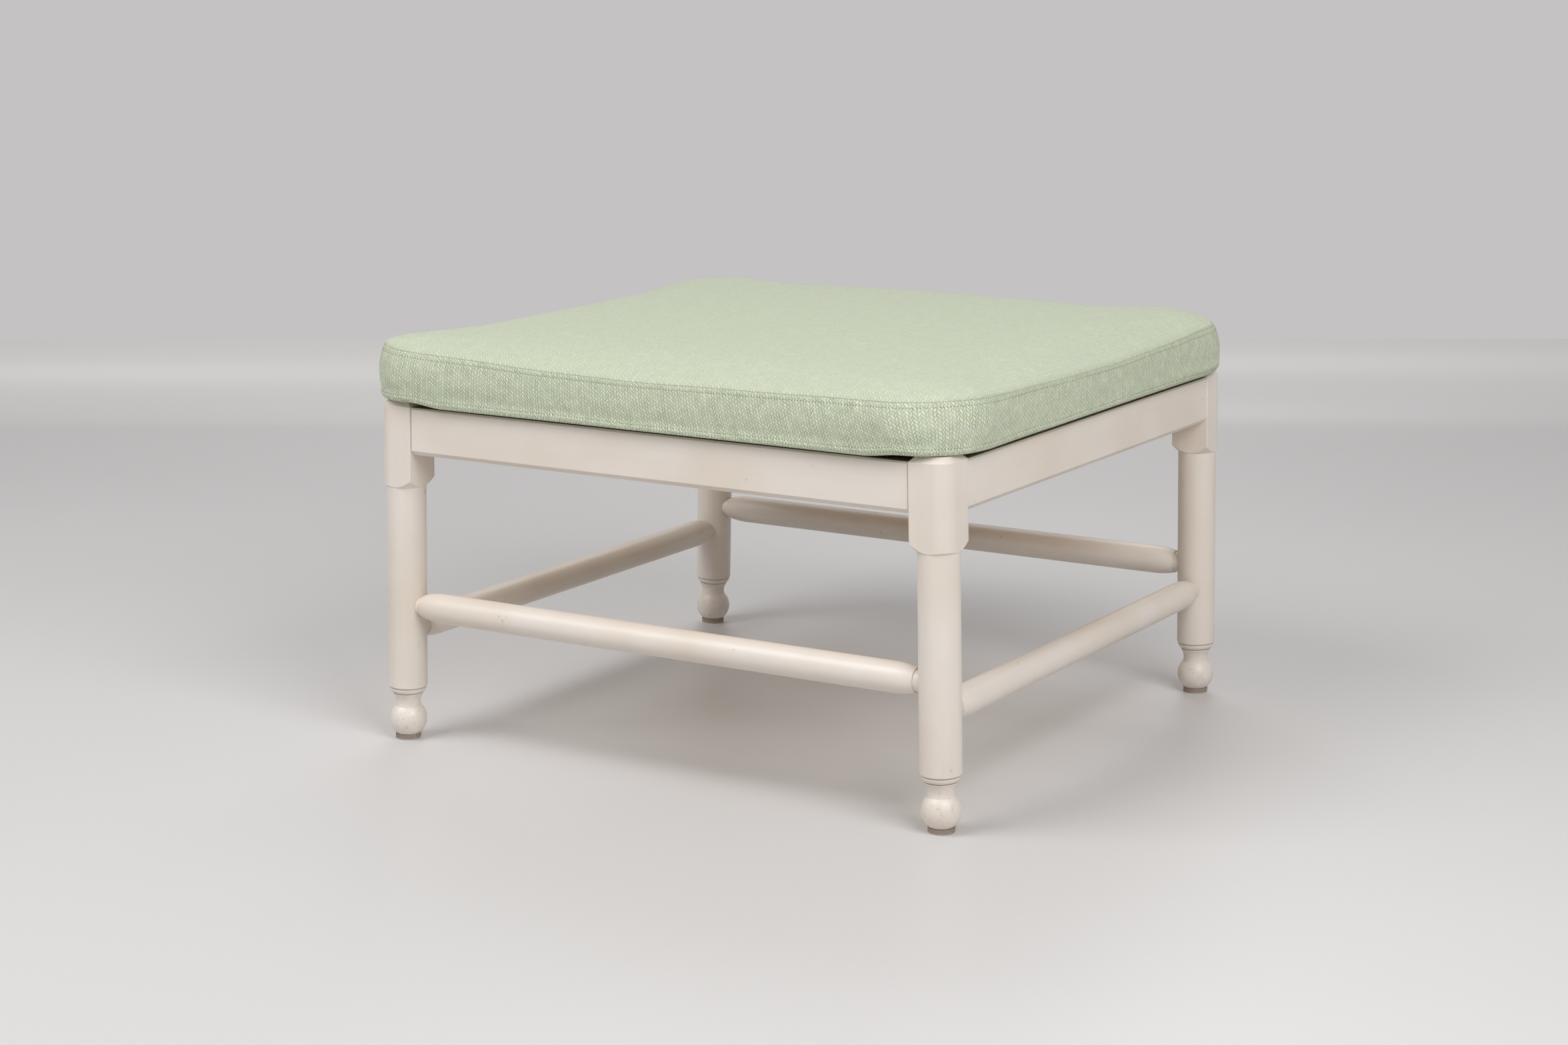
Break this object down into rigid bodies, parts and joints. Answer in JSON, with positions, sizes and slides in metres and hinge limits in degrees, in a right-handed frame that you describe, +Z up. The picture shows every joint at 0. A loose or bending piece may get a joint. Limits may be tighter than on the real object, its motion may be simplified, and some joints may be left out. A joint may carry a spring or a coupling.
{
  "type": "footstool",
  "caption": "Low square footstool with turned legs, round stretchers, a slatted frame and a loose box cushion.",
  "frame": {"origin": "on the floor under the middle of the stool, at the bottom centre of its bounding box", "axes": "+Z up, +X to the right along the long side, +Y to the back; the front is the side that faces -Y"},
  "size_m": [0.6452, 0.6262, 0.3983],
  "materials": {
    "painted_wood": "satin off-white paint over wood",
    "bare_wood": "planed, unfinished pine",
    "zinc_steel": "zinc plated",
    "glide_plastic": "moulded, dull",
    "cover_fabric": "woven upholstery cloth in mixed pale green yarns",
    "foam": "open cell foam",
    "zip_tape": "woven tape with nylon coil teeth",
    "zip_metal": "nickel plated"
  },
  "bodies": {
    "frame": {"leg_front_right": "painted_wood", "leg_front_left": "painted_wood", "leg_back_right": "painted_wood", "leg_back_left": "painted_wood", "rail_front": "painted_wood", "rail_back": "painted_wood", "rail_right": "painted_wood", "rail_left": "painted_wood", "stretcher_front": "painted_wood", "stretcher_back": "painted_wood", "stretcher_right": "painted_wood", "stretcher_left": "painted_wood", "corner_block_front_right": "bare_wood", "corner_block_front_left": "bare_wood", "corner_block_back_right": "bare_wood", "corner_block_back_left": "bare_wood", "cleat_front": "bare_wood", "cleat_back": "bare_wood", "seat_slat_1": "bare_wood", "seat_slat_2": "bare_wood", "seat_slat_3": "bare_wood", "seat_slat_4": "bare_wood", "seat_slat_5": "bare_wood", "seat_slat_6": "bare_wood", "seat_slat_7": "bare_wood", "seat_slat_8": "bare_wood", "rail_dowels": "bare_wood", "corner_block_screws": "zinc_steel", "cleat_screws": "zinc_steel", "slat_screws": "zinc_steel", "glide_nails": "zinc_steel", "glide_front_right": "glide_plastic", "glide_front_left": "glide_plastic", "glide_back_right": "glide_plastic", "glide_back_left": "glide_plastic"},
    "cushion": {"cushion_top_panel": "cover_fabric", "cushion_boxing": "cover_fabric", "cushion_bottom_panel": "cover_fabric", "cushion_foam": "foam", "cushion_zip": "zip_tape"},
    "zip_slider": {"zip_slider": "zip_metal"},
    "zip_pull": {"zip_pull": "zip_metal"}
  },
  "joints": [
    {"name": "cushion_lift", "type": "slide", "parent": "frame", "child": "cushion", "axis": [0, 0, 1], "range_m": [0, 0.12]},
    {"name": "zip_slide", "type": "slide", "parent": "cushion", "child": "zip_slider", "axis": [1, 0, 0], "range_m": [0, 0.432]},
    {"name": "zip_pull_swing", "type": "hinge", "parent": "zip_slider", "child": "zip_pull", "pos_m": [-0.216, 0.31214, 0.34882], "axis": [0, 0, 1], "range_deg": [0, 180]}
  ]
}
